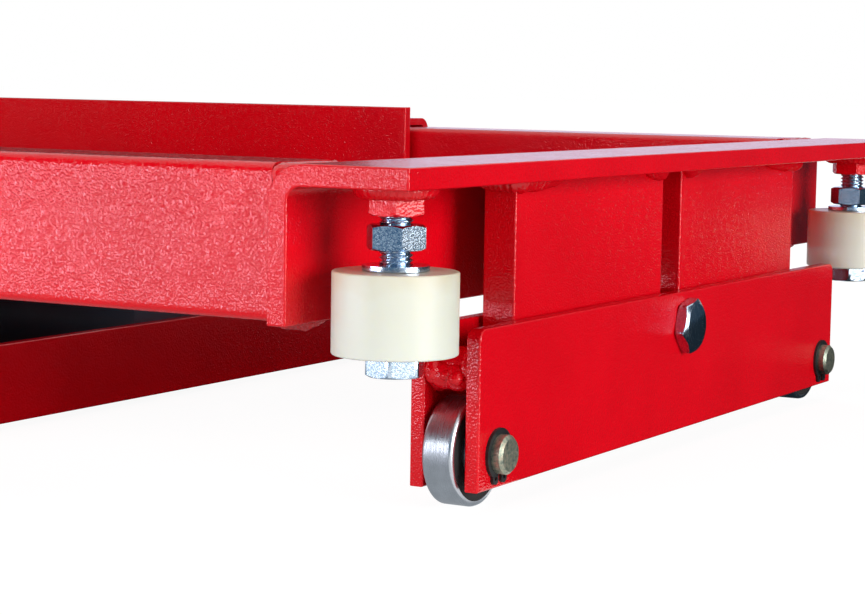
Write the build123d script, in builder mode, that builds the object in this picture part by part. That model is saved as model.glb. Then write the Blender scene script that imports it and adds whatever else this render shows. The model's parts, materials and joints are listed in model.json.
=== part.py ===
from build123d import *
from math import cos, radians, sin
import os

# Rolling bridge jack: a low lifting frame that spans two rails. Each end telescopes out of the frame and
# rolls along its rail on a rocking carriage, and two upright rollers keep the end from running off sideways.
# Millimetres. X runs across the jack from rail to rail, Y along the rails, Z up from the wheels' underside.

os.makedirs("parts", exist_ok=True)

# End bracket: one bent plate, with a flange on top and a leg behind
flange_span = 1068
bracket_length = 526
bracket_width = 57
bracket_depth = 57
bracket_thickness = 8
bracket_outer_bend = 13.5
bracket_inner_bend = 5.5
bracket_top = 131
plate_edge = 0.8

# Telescopic arms and the sleeves that hold them
arm_width = 40
arm_height = 56
arm_wall = 4
arm_corner = 3.5
arm_inner_corner = 2
arm_setback = 3.3
arm_engaged = 120
sleeve_clearance = 1
sleeve_wall = 4
sleeve_corner = 8
sleeve_inner_corner = 4.5
sleeve_setback = 17

# Body
body_length = 510
body_top = 143
body_bottom = 2.5
side_plate_thickness = 6
cross_plate_thickness = 6
cross_plate_inset = 5
cross_plate_top = 38.5
pipe_hole_diameter = 9

# Rocking carriage, under the bracket's flange
carriage_length = 378
carriage_bottom = 8
carriage_top = 69
carriage_outer_face = 522.2
carriage_plate = 6
carriage_gap = 17.5
carriage_corner = 4.5
spacer_diameter = 16
spacer_from_end = 11
spacer_height = 53

# Webs, the pivot bush between them and the pivot bolt
web_thickness = 14
web_start = 9.8
web_end = 148
web_bottom = 32
pivot_height = 54
bush_diameter = 26
bush_end_gap = 0.6
pivot_bolt_diameter = 14
pivot_flats = 22
pivot_head = 6
pivot_crown_inset = 1.5
pivot_crown_cone = 1.85
pivot_nut = 8
pivot_bolt_stub = 2.5
pivot_head_turn = 13

# Wheels: sealed ball bearings, 15 x 42 x 13, on pins
wheel_diameter = 42
wheel_width = 13
wheel_ring_bore = 35
wheel_edge = 1.6
seal_diameter = 37.6
seal_bore = 23.2
seal_thickness = 1
seal_recess = 0.5
inner_ring_diameter = 22.6
hub_shoulder = 19.5
pin_diameter = 15
pin_spacing = 348
pin_proud_outer = 5.6
pin_proud_inner = 4.2
pin_chamfer = 1.2
circlip_thickness = 1.2
circlip_bore = 14.2
circlip_groove = 14
circlip_outer = 19.8
circlip_mouth = 2.5
circlip_lug = 4.6
circlip_lug_spread = 6.6
circlip_lug_drop = 9
circlip_lug_hole = 1.6

# Guide rollers on M12 bolts
guide_inset = 20
guide_spacing = 474
guide_diameter = 45
guide_bottom = 64
guide_top = 94
guide_end_gap = 0.25
guide_chamfer = 0.8
guide_bolt_diameter = 12
guide_flats = 19
guide_head = 7.5
guide_head_turn = -10
guide_washer = 24
guide_washer_thickness = 1.8
guide_lock_nut_bottom_front = 101
guide_lock_nut_bottom_rear = 97
guide_lock_nut = 9
guide_lock_nut_turn = 12
guide_weld_nut = 10
guide_bolt_end_gap = 1
hex_cone_height = 0.95
hex_face_inset = 0.3
thread_clearance = 0.05

# Scissor
leg_length = 400
leg_rest_angle = 6
leg_height = 34
leg_thickness = 12
leg_gap = 4
inner_leg_face = 156
fixed_pivot_x = 195
base_pivot_height = 40
scissor_pin = 20
roller_stub = 18
roller_diameter = 40
roller_width = 18
roller_chamfer = 1
roller_side_gap = 2
roll_gap = 0.3
collar_diameter = 27
collar_thickness = 2.4
running_clearance = 0.05

# Base tracks, with the scissor's fixed pivot at one end
track_thickness = 8
track_inner = 169
track_half_length = 235
pivot_block_length = 46
pivot_block_top = 62
pivot_block_face = 186

# Platform and saddles
platform_thickness = 6
platform_half_length = 222
platform_rail_inner = 138
platform_rail_outer = 205
deck_half_length = 160
lug_inner = 140
lug_thickness = 12
saddle_offset = 56
saddle_bar = 32
saddle_bar_wall = 4
saddle_bar_corner = 3
saddle_sleeve = 42
saddle_sleeve_bore = 34
saddle_sleeve_corner = 5
saddle_sleeve_half_length = 165
saddle_bar_start = -70
saddle_bar_end = 176
cup_centre = 200
cup_diameter = 60
cup_wall = 4
cup_bottom = 64
cup_floor = 92
cup_top = 106
pad_top = 118
pad_side_gap = 0.2
pad_chamfer = 2.5
pad_groove_depth = 3
pad_groove_width = 4
pad_groove_pitch = 12

# Ram
barrel_diameter = 64
barrel_bore = 50.2
barrel_start = 40
barrel_floor = 205
gland_start = 22
gland_chamfer = 3
rod_diameter = 28
piston_diameter = 50
piston_start = 46
piston_length = 20
eye_diameter = 44
eye_width = 26
pipe_diameter = 8
pipe_bore = 5
pipe_y = -19
pipe_height = 20
pipe_nut_flats = 13
pipe_nut_length = 10

# Pump, on the outside of the left cross plate
pump_length = 56
pump_half_width = 75
pump_bottom = 5
pump_top = 38
pump_corner = 6
ear_thickness = 8
ear_gap = 34
ear_half_width = 14
socket_y = -45
socket_height = 56
socket_diameter = 32
socket_bore = 26
socket_bottom = 62
socket_floor = 66
socket_top = 136
trunnion_diameter = 12
socket_eye_diameter = 28
socket_eye_width = 33
knob_diameter = 28
knob_length = 16
knob_flutes = 8
knob_flute_diameter = 7
knob_stem_diameter = 10
knob_stem_length = 6
knob_y = 45
knob_height = 22

# Positions that follow from the driving dimensions
flange_edge = flange_span / 2
leg_back = flange_edge - bracket_width
leg_front = leg_back + bracket_thickness
leg_bottom = bracket_top - bracket_depth
flange_underside = bracket_top - bracket_thickness
arm_centre_y = bracket_length / 2 - arm_setback - arm_width / 2
arm_centre_z = bracket_top - arm_height / 2
sleeve_bore_width = arm_width + 2 * sleeve_clearance
sleeve_bore_height = arm_height + 2 * sleeve_clearance
sleeve_width = sleeve_bore_width + 2 * sleeve_wall
sleeve_height = sleeve_bore_height + 2 * sleeve_wall
body_end = body_length / 2
sleeve_end = body_end - sleeve_setback
arm_start = sleeve_end - arm_engaged
side_plate_outer = arm_centre_y - sleeve_width / 2
side_plate_inner = side_plate_outer - side_plate_thickness
cross_plate_outer = body_end - cross_plate_inset
cross_plate_inner = cross_plate_outer - cross_plate_thickness
carriage_inner_face = carriage_outer_face - 2 * carriage_plate - carriage_gap
carriage_centre = (carriage_outer_face + carriage_inner_face) / 2
web_back = carriage_centre - web_thickness / 2
web_front = carriage_centre + web_thickness / 2
wheel_radius = wheel_diameter / 2
wheel_back = carriage_centre - wheel_width / 2
wheel_front = carriage_centre + wheel_width / 2
pin_y = pin_spacing / 2
guide_x = flange_edge - guide_inset
guide_y = guide_spacing / 2
guide_places = [(guide_x, -guide_y), (guide_x, guide_y)]
leg_reach = leg_length * cos(radians(leg_rest_angle))
leg_rise = leg_length * sin(radians(leg_rest_angle))
sliding_x = fixed_pivot_x - leg_reach
top_pivot_height = base_pivot_height + leg_rise
centre_x = (fixed_pivot_x + sliding_x) / 2
centre_height = (base_pivot_height + top_pivot_height) / 2
inner_leg_back = inner_leg_face + leg_thickness
outer_leg_face = inner_leg_back + leg_gap
outer_leg_back = outer_leg_face + leg_thickness
running_bore = scissor_pin + 2 * running_clearance
track_top = base_pivot_height - roller_diameter / 2 - roll_gap
track_bottom = track_top - track_thickness
platform_underside = top_pivot_height + roller_diameter / 2 + roll_gap
platform_top = platform_underside + platform_thickness
saddle_height = platform_underside - saddle_sleeve / 2
pump_start = -cross_plate_outer - pump_length
socket_x = -cross_plate_outer - pump_length / 2


def save(piece, name):
    """Label a finished piece and write it as a STEP file of the same name."""
    piece.part.label = name
    export_step(piece.part, f"parts/{name}.step")


def save_both_ends(piece, name):
    """Write a piece of the right end, and its mirror image at the left end."""
    save(piece, f"{name}_right")
    with BuildPart() as twin:
        mirror(piece.part, about=Plane.YZ)
    save(twin, f"{name}_left")


def across(x):
    """Plane square to X and facing it: its own x runs along Y and its own y runs up."""
    return Plane.YZ.offset(x)


def along(y):
    """Plane square to Y and facing -Y: its own x runs along X and its own y runs up."""
    return Plane.XZ.offset(-y)


def facing_x(x, y, z):
    """Plane through a point, facing +X."""
    return Plane(origin=(x, y, z), x_dir=(0, 1, 0), z_dir=(1, 0, 0))


def bar_x(x0, x1, diameter, y, z, mode=Mode.ADD):
    """Round bar along X, added to the part in hand or cut from it."""
    with BuildSketch(across(x0)) as circle:
        with Locations((y, z)):
            Circle(diameter / 2)
    extrude(circle.sketch, amount=x1 - x0, mode=mode)


def bar_y(y0, y1, diameter, x, z, mode=Mode.ADD):
    """Round bar along Y, added to the part in hand or cut from it."""
    with BuildSketch(along(y0)) as circle:
        with Locations((x, z)):
            Circle(diameter / 2)
    extrude(circle.sketch, amount=y0 - y1, mode=mode)


def bar_z(z0, z1, diameter, x, y, mode=Mode.ADD):
    """Round bar along Z, added to the part in hand or cut from it."""
    with BuildSketch(Plane.XY.offset(z0)) as circle:
        with Locations((x, y)):
            Circle(diameter / 2)
    extrude(circle.sketch, amount=z1 - z0, mode=mode)


def block(x0, x1, y0, y1, z0, z1, mode=Mode.ADD):
    """Square block between two corners, added to the part in hand or cut from it."""
    with BuildSketch(Plane.XY.offset(z0)) as base:
        with Locations(((x0 + x1) / 2, (y0 + y1) / 2)):
            Rectangle(abs(x1 - x0), abs(y1 - y0))
    extrude(base.sketch, amount=z1 - z0, mode=mode)


def square_tube(x0, x1, y, z, size, bore, corner):
    """Square tube along X, added to the part in hand."""
    with BuildSketch(across(x0)) as section:
        with Locations((y, z)):
            RectangleRounded(size, size, corner)
            Rectangle(bore, bore, mode=Mode.SUBTRACT)
    extrude(section.sketch, amount=x1 - x0)


def hex_blank(flats, height, bore=0, turn=0, crown_inset=hex_face_inset, crown_cone=hex_cone_height):
    """Hexagon along Z from the origin, turned about Z, coned off at its seat and at its crown."""
    corner = flats / 2 / cos(radians(30))
    seat = flats / 2 - hex_face_inset
    crown = flats / 2 - crown_inset
    with BuildPart() as blank:
        with BuildSketch():
            RegularPolygon(corner, 6, rotation=turn)
            if bore:
                Circle(bore / 2, mode=Mode.SUBTRACT)
        extrude(amount=height)
        with BuildSketch(Plane.XZ):
            with BuildLine():
                Polyline(
                    (0, 0),
                    (seat, 0),
                    (corner, hex_cone_height),
                    (corner, height - crown_cone),
                    (crown, height),
                    (0, height),
                    close=True,
                )
            make_face()
        revolve(axis=Axis.Z, mode=Mode.INTERSECT)
    return blank.part


def make_rail_bracket():
    """Bent plate: the leg hangs down behind, and the flange reaches out over the carriage."""
    with BuildPart() as bracket:
        with BuildSketch(Plane.XZ) as section:
            with BuildLine():
                Polyline(
                    (leg_back, leg_bottom),
                    (leg_back, bracket_top),
                    (flange_edge, bracket_top),
                    (flange_edge, flange_underside),
                    (leg_front, flange_underside),
                    (leg_front, leg_bottom),
                    close=True,
                )
            make_face()
            outer_bend = section.vertices().sort_by_distance((leg_back, bracket_top))[0]
            fillet(outer_bend, radius=bracket_outer_bend)
            inner_bend = section.vertices().sort_by_distance((leg_front, flange_underside))[0]
            fillet(inner_bend, radius=bracket_inner_bend)
        extrude(amount=bracket_length / 2, both=True)
        ends = bracket.faces().filter_by(Axis.Y).edges()
        rims = bracket.faces().sort_by(Axis.X)[-1].edges().filter_by(Axis.Y)
        hems = bracket.faces().sort_by(Axis.Z)[0].edges().filter_by(Axis.Y)
        fillet(ends + rims + hems, radius=plate_edge)
    return bracket


def make_arms():
    """Pair of rectangular tubes, welded to the back of the bracket's leg."""
    with BuildPart() as arms:
        with BuildSketch(across(arm_start)):
            with Locations((-arm_centre_y, arm_centre_z), (arm_centre_y, arm_centre_z)):
                RectangleRounded(arm_width, arm_height, arm_corner)
                RectangleRounded(
                    arm_width - 2 * arm_wall, arm_height - 2 * arm_wall, arm_inner_corner, mode=Mode.SUBTRACT
                )
        extrude(amount=leg_back - arm_start)
    return arms


def make_web_plates():
    """Two plates under the flange, with a half-round seat in each for the pivot bush."""
    with BuildPart() as webs:
        for side in (-1, 1):
            block(web_back, web_front, side * web_start, side * web_end, web_bottom, flange_underside)
        fillet(webs.edges().filter_by(Axis.Z), radius=plate_edge)
        bar_x(web_back, web_front, bush_diameter, 0, pivot_height, mode=Mode.SUBTRACT)
    return webs


def make_pivot_bush():
    """Plain bush between the webs, which the carriage rocks on."""
    half = carriage_gap / 2 - bush_end_gap
    bore = pivot_bolt_diameter + 2 * running_clearance
    with BuildPart() as bush:
        bar_x(carriage_centre - half, carriage_centre + half, bush_diameter, 0, pivot_height)
        bar_x(carriage_centre - half, carriage_centre + half, bore, 0, pivot_height, mode=Mode.SUBTRACT)
    return bush


def make_pivot_bolt():
    """Hexagon bolt through both carriage plates, and its nut."""
    head = hex_blank(pivot_flats, pivot_head, 0, pivot_head_turn, pivot_crown_inset, pivot_crown_cone)
    nut = hex_blank(pivot_flats, pivot_nut, pivot_bolt_diameter + 2 * thread_clearance)
    nut_face = carriage_inner_face - pivot_nut
    with BuildPart() as bolt:
        bar_x(nut_face - pivot_bolt_stub, carriage_outer_face, pivot_bolt_diameter, 0, pivot_height)
        with Locations(facing_x(carriage_outer_face, 0, pivot_height)):
            add(head)
        with Locations(facing_x(nut_face, 0, pivot_height)):
            add(nut)
    return bolt


def make_carriage_frame():
    """Two long plates on edge, welded to a round spacer above each wheel."""
    with BuildPart() as carriage:
        for start in (carriage_inner_face, carriage_outer_face - carriage_plate):
            with BuildSketch(across(start)) as outline:
                with Locations((0, (carriage_bottom + carriage_top) / 2)):
                    Rectangle(carriage_length, carriage_top - carriage_bottom)
                fillet(outline.vertices().group_by(Axis.Y)[-1], radius=carriage_corner)
            extrude(amount=carriage_plate)
        fillet(carriage.faces().filter_by(Axis.X).edges(), radius=plate_edge)
        for side in (-1, 1):
            bar_x(carriage_inner_face, carriage_outer_face, pin_diameter, side * pin_y, wheel_radius,
                  mode=Mode.SUBTRACT)
            spacer_y = side * (carriage_length / 2 - spacer_from_end)
            bar_x(carriage_inner_face + carriage_plate, carriage_outer_face - carriage_plate,
                  spacer_diameter, spacer_y, spacer_height)
        bar_x(carriage_inner_face, carriage_outer_face, pivot_bolt_diameter, 0, pivot_height,
              mode=Mode.SUBTRACT)
    return carriage


def make_wheel(y):
    """Outer ring of the ball bearing, which rolls on the rail, with a seat for a seal in each face."""
    seal_depth = seal_recess + seal_thickness
    with BuildPart() as wheel:
        bar_x(wheel_back, wheel_front, wheel_diameter, y, wheel_radius)
        fillet(wheel.edges().filter_by(GeomType.CIRCLE), radius=wheel_edge)
        bar_x(wheel_back, wheel_front, wheel_ring_bore, y, wheel_radius, mode=Mode.SUBTRACT)
        for start in (wheel_back, wheel_front - seal_depth):
            bar_x(start, start + seal_depth, seal_diameter, y, wheel_radius, mode=Mode.SUBTRACT)
    return wheel


def make_wheel_seals(y):
    """Rubber seals, one in each face of a wheel."""
    with BuildPart() as seals:
        for start in (wheel_back + seal_recess, wheel_front - seal_recess - seal_thickness):
            bar_x(start, start + seal_thickness, seal_diameter, y, wheel_radius)
        bar_x(wheel_back, wheel_front, seal_bore, y, wheel_radius, mode=Mode.SUBTRACT)
    return seals


def make_wheel_hubs():
    """Inner rings of both bearings, each with a shoulder that keeps it clear of the plates."""
    with BuildPart() as hubs:
        for y in (-pin_y, pin_y):
            bar_x(wheel_back, wheel_front, inner_ring_diameter, y, wheel_radius)
            bar_x(carriage_inner_face + carriage_plate, carriage_outer_face - carriage_plate,
                  hub_shoulder, y, wheel_radius)
            bar_x(carriage_inner_face, carriage_outer_face, pin_diameter, y, wheel_radius,
                  mode=Mode.SUBTRACT)
    return hubs


def make_axle_pins():
    """Wheel pins, chamfered and grooved for a circlip at each end."""
    with BuildPart() as pins:
        for y in (-pin_y, pin_y):
            bar_x(carriage_inner_face - pin_proud_inner, carriage_outer_face + pin_proud_outer,
                  pin_diameter, y, wheel_radius)
        chamfer(pins.edges().filter_by(GeomType.CIRCLE), length=pin_chamfer)
        for start in (carriage_inner_face - circlip_thickness, carriage_outer_face):
            with BuildSketch(across(start)):
                with Locations((-pin_y, wheel_radius), (pin_y, wheel_radius)):
                    Circle(pin_diameter)
                    Circle(circlip_groove / 2, mode=Mode.SUBTRACT)
            extrude(amount=circlip_thickness, mode=Mode.SUBTRACT)
    return pins


def make_circlips():
    """Open spring rings with two lugs that hang down beside the mouth."""
    rings = [(-pin_y, wheel_radius), (pin_y, wheel_radius)]
    mouths = [(y, wheel_radius - circlip_outer / 2) for y, _ in rings]
    lug_z = wheel_radius - circlip_lug_drop
    lugs = [(y + side * circlip_lug_spread / 2, lug_z) for y, _ in rings for side in (-1, 1)]
    with BuildPart() as circlips:
        for start in (carriage_inner_face - circlip_thickness, carriage_outer_face):
            with BuildSketch(across(start)):
                with Locations(*rings):
                    Circle(circlip_outer / 2)
                with Locations(*lugs):
                    Circle(circlip_lug / 2)
                    Circle(circlip_lug_hole / 2, mode=Mode.SUBTRACT)
                with Locations(*rings):
                    Circle(circlip_bore / 2, mode=Mode.SUBTRACT)
                with Locations(*mouths):
                    Rectangle(circlip_mouth, circlip_outer, mode=Mode.SUBTRACT)
            extrude(amount=circlip_thickness)
    return circlips


def make_guide_roller(y):
    """Nylon roller that turns on its bolt and runs along the side of the rail."""
    bore = guide_bolt_diameter + 2 * running_clearance
    with BuildPart() as roller:
        bar_z(guide_bottom + guide_end_gap, guide_top - guide_end_gap, guide_diameter, guide_x, y)
        fillet(roller.edges().filter_by(GeomType.CIRCLE), radius=guide_chamfer)
        bar_z(guide_bottom, guide_top, bore, guide_x, y, mode=Mode.SUBTRACT)
    return roller


def make_guide_bolts():
    """Hexagon bolts that hold the guide rollers, put in from below."""
    head = hex_blank(guide_flats, guide_head, turn=guide_head_turn)
    with BuildPart() as bolts:
        for x, y in guide_places:
            bar_z(guide_bottom, flange_underside - guide_bolt_end_gap, guide_bolt_diameter, x, y)
            with Locations((x, y, guide_bottom - guide_head)):
                add(head)
    return bolts


def make_guide_lock_nuts():
    """Lock nut on each guide bolt, and the washer on top of the roller."""
    bore = guide_bolt_diameter + 2 * thread_clearance
    nut = hex_blank(guide_flats, guide_lock_nut, bore, guide_lock_nut_turn)
    with BuildPart() as hardware:
        for x, y in guide_places:
            bar_z(guide_top, guide_top + guide_washer_thickness, guide_washer, x, y)
            bar_z(guide_top, guide_top + guide_washer_thickness, bore, x, y, mode=Mode.SUBTRACT)
            nut_bottom = guide_lock_nut_bottom_front if y < 0 else guide_lock_nut_bottom_rear
            with Locations((x, y, nut_bottom)):
                add(nut)
    return hardware


def make_guide_weld_nuts():
    """Nuts welded under the flange, which the guide bolts screw into."""
    nut = hex_blank(guide_flats, guide_weld_nut, guide_bolt_diameter + 2 * thread_clearance)
    with BuildPart() as nuts:
        for x, y in guide_places:
            with Locations((x, y, flange_underside - guide_weld_nut)):
                add(nut)
    return nuts


def make_side_plate(side):
    """Deep plate on edge along one side of the body."""
    with BuildPart() as plate:
        block(-body_end, body_end, side * side_plate_inner, side * side_plate_outer, body_bottom, body_top)
        fillet(plate.faces().filter_by(Axis.Y).edges(), radius=plate_edge)
    return plate


def make_sleeve(side):
    """Rectangular tube along the side of the body, open at both ends for the arms."""
    with BuildPart() as sleeve:
        with BuildSketch(across(-sleeve_end)):
            with Locations((side * arm_centre_y, arm_centre_z)):
                RectangleRounded(sleeve_width, sleeve_height, sleeve_corner)
                RectangleRounded(
                    sleeve_bore_width, sleeve_bore_height, sleeve_inner_corner, mode=Mode.SUBTRACT
                )
        extrude(amount=2 * sleeve_end)
    return sleeve


def make_cross_plates():
    """Low plates that close the two ends of the body. The left one has a hole for the pipe."""
    with BuildPart() as plates:
        for start in (-cross_plate_outer, cross_plate_inner):
            block(start, start + cross_plate_thickness, -side_plate_inner, side_plate_inner,
                  body_bottom, cross_plate_top)
        fillet(plates.edges().filter_by(Axis.Y), radius=plate_edge)
        bar_x(-cross_plate_outer, -cross_plate_inner, pipe_hole_diameter, pipe_y, pipe_height,
              mode=Mode.SUBTRACT)
    return plates


def make_base_tracks():
    """Flat bars that the lower rollers run on, each with a fixed pivot at its right end."""
    collar_end = outer_leg_face - roll_gap
    with BuildPart() as tracks:
        for side in (-1, 1):
            block(-track_half_length, track_half_length, side * track_inner, side * side_plate_inner,
                  track_bottom, track_top)
            block(fixed_pivot_x - pivot_block_length / 2, fixed_pivot_x + pivot_block_length / 2,
                  side * pivot_block_face, side * side_plate_inner, track_top, pivot_block_top)
            bar_y(side * collar_end, side * pivot_block_face, scissor_pin, fixed_pivot_x, base_pivot_height)
            bar_y(side * (collar_end - collar_thickness), side * collar_end, collar_diameter,
                  fixed_pivot_x, base_pivot_height)
    return tracks


def make_legs(face, lower_x, upper_x, lower_bore, centre_bore, upper_bore):
    """Pair of flat legs with round ends, one on each side of the jack."""
    tilt = leg_rest_angle if upper_x > lower_x else -leg_rest_angle
    with BuildPart() as legs:
        for side in (-1, 1):
            start = face if side > 0 else -face - leg_thickness
            with BuildSketch(along(start + leg_thickness)):
                with Locations((centre_x, centre_height)):
                    SlotCenterToCenter(leg_length, leg_height, rotation=tilt)
                for x, z, bore in (
                    (lower_x, base_pivot_height, lower_bore),
                    (centre_x, centre_height, centre_bore),
                    (upper_x, top_pivot_height, upper_bore),
                ):
                    if bore:
                        with Locations((x, z)):
                            Circle(bore / 2, mode=Mode.SUBTRACT)
            extrude(amount=leg_thickness)
        fillet(legs.faces().filter_by(Axis.Y).edges(), radius=plate_edge)
    return legs


def make_outer_legs():
    """Legs that turn on the base tracks' fixed pivots, with a stub for the top roller at the far end."""
    legs = make_legs(outer_leg_face, fixed_pivot_x, sliding_x, running_bore, scissor_pin, 0)
    stub_end = outer_leg_back + 2 * roller_side_gap + roller_width
    with BuildPart() as outer_legs:
        add(legs.part)
        for side in (-1, 1):
            bar_y(side * outer_leg_back, side * stub_end, roller_stub, sliding_x, top_pivot_height)
            bar_y(side * outer_leg_back, side * (outer_leg_back + roller_side_gap - roll_gap),
                  collar_diameter, sliding_x, top_pivot_height)
    return outer_legs


def make_inner_legs():
    """Legs that carry the platform's hinge at the top and the lower axle at the foot."""
    return make_legs(inner_leg_face, sliding_x, fixed_pivot_x, scissor_pin, running_bore, running_bore)


def make_centre_pins():
    """Headed pins where the legs cross."""
    with BuildPart() as pins:
        for side in (-1, 1):
            inner_end = inner_leg_face - roll_gap
            bar_y(side * inner_end, side * outer_leg_back, scissor_pin, centre_x, centre_height)
            bar_y(side * (inner_end - collar_thickness), side * inner_end, collar_diameter,
                  centre_x, centre_height)
            bar_y(side * outer_leg_back, side * (outer_leg_back + collar_thickness), collar_diameter,
                  centre_x, centre_height)
    return pins


def make_lower_axle():
    """Shaft through the feet of the inner legs, with a collar outside each roller."""
    collar_start = inner_leg_back + 2 * roller_side_gap + roller_width
    with BuildPart() as axle:
        bar_y(-collar_start, collar_start, scissor_pin, sliding_x, base_pivot_height)
        for side in (-1, 1):
            bar_y(side * collar_start, side * (collar_start + collar_thickness), collar_diameter,
                  sliding_x, base_pivot_height)
    return axle


def make_rollers(face, bore, z):
    """Pair of plain steel rollers, one on each side of the jack."""
    with BuildPart() as rollers:
        for side in (-1, 1):
            bar_y(side * face, side * (face + roller_width), roller_diameter, sliding_x, z)
        chamfer(rollers.edges().filter_by(GeomType.CIRCLE), length=roller_chamfer)
        bar_y(-side_plate_inner, side_plate_inner, bore, sliding_x, z, mode=Mode.SUBTRACT)
    return rollers


def make_platform():
    """Welded top frame: a deck, two rails over the rollers, the hinge lugs and the saddle sleeves."""
    lug_outer = lug_inner + lug_thickness
    pin_end = inner_leg_back + roll_gap
    with BuildPart() as platform:
        block(-deck_half_length, deck_half_length, -platform_rail_inner, platform_rail_inner,
              platform_underside, platform_top)
        for side in (-1, 1):
            block(-platform_half_length, platform_half_length, side * platform_rail_inner,
                  side * platform_rail_outer, platform_underside, platform_top)
            block(fixed_pivot_x - leg_height / 2, fixed_pivot_x + leg_height / 2, side * lug_inner,
                  side * lug_outer, top_pivot_height, platform_underside)
            bar_y(side * lug_inner, side * lug_outer, leg_height, fixed_pivot_x, top_pivot_height)
            bar_y(side * lug_outer, side * pin_end, scissor_pin, fixed_pivot_x, top_pivot_height)
            bar_y(side * pin_end, side * (pin_end + collar_thickness), collar_diameter,
                  fixed_pivot_x, top_pivot_height)
            square_tube(-saddle_sleeve_half_length, saddle_sleeve_half_length, side * saddle_offset,
                        saddle_height, saddle_sleeve, saddle_sleeve_bore, saddle_sleeve_corner)
    return platform


def make_saddle_arm():
    """Square tube that slides out of the platform, with a cup at its end for the pad."""
    with BuildPart() as arm:
        square_tube(saddle_bar_start, saddle_bar_end, -saddle_offset, saddle_height, saddle_bar,
                    saddle_bar - 2 * saddle_bar_wall, saddle_bar_corner)
        bar_z(cup_bottom, cup_top, cup_diameter, cup_centre, -saddle_offset)
        fillet(arm.faces().filter_by(Axis.Z).sort_by(Axis.Z)[0].edges(), radius=plate_edge)
        bar_z(cup_floor, cup_top, cup_diameter - 2 * cup_wall, cup_centre, -saddle_offset, mode=Mode.SUBTRACT)
    return arm


def make_saddle_pad():
    """Round rubber pad with grooves across its top."""
    radius = cup_diameter / 2 - cup_wall - pad_side_gap
    with BuildPart() as pad:
        bar_z(cup_floor, pad_top, 2 * radius, cup_centre, -saddle_offset)
        chamfer(pad.faces().sort_by(Axis.Z)[-1].edges(), length=pad_chamfer)
        for step in (-1, 0, 1):
            groove_x = cup_centre + step * pad_groove_pitch
            block(groove_x - pad_groove_width / 2, groove_x + pad_groove_width / 2,
                  -saddle_offset - radius, -saddle_offset + radius,
                  pad_top - pad_groove_depth, pad_top, mode=Mode.SUBTRACT)
    return pad


def half_turn(piece):
    """The same piece turned half round about Z, for the left end of the platform."""
    with BuildPart() as turned:
        add(piece.part, rotation=(0, 0, 180))
    return turned


def make_barrel():
    """Ram tube, closed by its base at the right end, where it is welded to the cross plate."""
    with BuildPart() as barrel:
        bar_x(barrel_start, cross_plate_inner, barrel_diameter, 0, base_pivot_height)
        bar_x(barrel_start, barrel_floor, barrel_bore, 0, base_pivot_height, mode=Mode.SUBTRACT)
    return barrel


def make_gland():
    """Head of the ram that the rod runs through."""
    with BuildPart() as gland:
        bar_x(gland_start, barrel_start, barrel_diameter, 0, base_pivot_height)
        outer_rim = gland.faces().sort_by(Axis.X)[0].edges()
        chamfer(outer_rim, length=gland_chamfer)
        bar_x(gland_start, barrel_start, rod_diameter + 2 * running_clearance, 0, base_pivot_height,
              mode=Mode.SUBTRACT)
    return gland


def make_ram_rod():
    """Rod with its piston inside the barrel and an eye on the lower axle."""
    with BuildPart() as rod:
        bar_x(sliding_x, piston_start, rod_diameter, 0, base_pivot_height)
        bar_x(piston_start, piston_start + piston_length, piston_diameter, 0, base_pivot_height)
        bar_y(-eye_width / 2, eye_width / 2, eye_diameter, sliding_x, base_pivot_height)
        bar_y(-eye_width, eye_width, running_bore, sliding_x, base_pivot_height, mode=Mode.SUBTRACT)
    return rod


def make_pipe():
    """Steel oil pipe from the pump to the rod side of the ram, with a nut at each end."""
    nut = hex_blank(pipe_nut_flats, pipe_nut_length, pipe_diameter + 2 * thread_clearance)
    with BuildPart() as pipe:
        bar_x(-cross_plate_outer, gland_start, pipe_diameter, pipe_y, pipe_height)
        bar_x(-cross_plate_outer, gland_start, pipe_bore, pipe_y, pipe_height, mode=Mode.SUBTRACT)
        for x in (-cross_plate_inner, gland_start - pipe_nut_length):
            with Locations(facing_x(x, pipe_y, pipe_height)):
                add(nut)
    return pipe


def make_pump_block():
    """Oil tank and pump in one block, with two ears on top for the handle socket."""
    with BuildPart() as pump:
        block(pump_start, -cross_plate_outer, -pump_half_width, pump_half_width, pump_bottom, pump_top)
        fillet(pump.edges().filter_by(Axis.X), radius=pump_corner)
        fillet(pump.faces().sort_by(Axis.X)[0].edges(), radius=plate_edge)
        for side in (-1, 1):
            near = socket_x + side * ear_gap / 2
            far = near + side * ear_thickness
            block(near, far, socket_y - ear_half_width, socket_y + ear_half_width, pump_top, socket_height)
            bar_x(near, far, 2 * ear_half_width, socket_y, socket_height)
        bar_x(pump_start, -cross_plate_outer, trunnion_diameter + 2 * running_clearance,
              socket_y, socket_height, mode=Mode.SUBTRACT)
    return pump


def make_handle_socket():
    """Tube that takes the pump bar, on an eye with trunnions that turn in the pump's ears."""
    trunnion_half = ear_gap / 2 + ear_thickness
    with BuildPart() as socket:
        bar_z(socket_bottom, socket_top, socket_diameter, socket_x, socket_y)
        bar_x(socket_x - socket_eye_width / 2, socket_x + socket_eye_width / 2,
              socket_eye_diameter, socket_y, socket_height)
        bar_x(socket_x - trunnion_half, socket_x + trunnion_half, trunnion_diameter, socket_y, socket_height)
        bar_z(socket_floor, socket_top, socket_bore, socket_x, socket_y, mode=Mode.SUBTRACT)
    return socket


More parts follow.
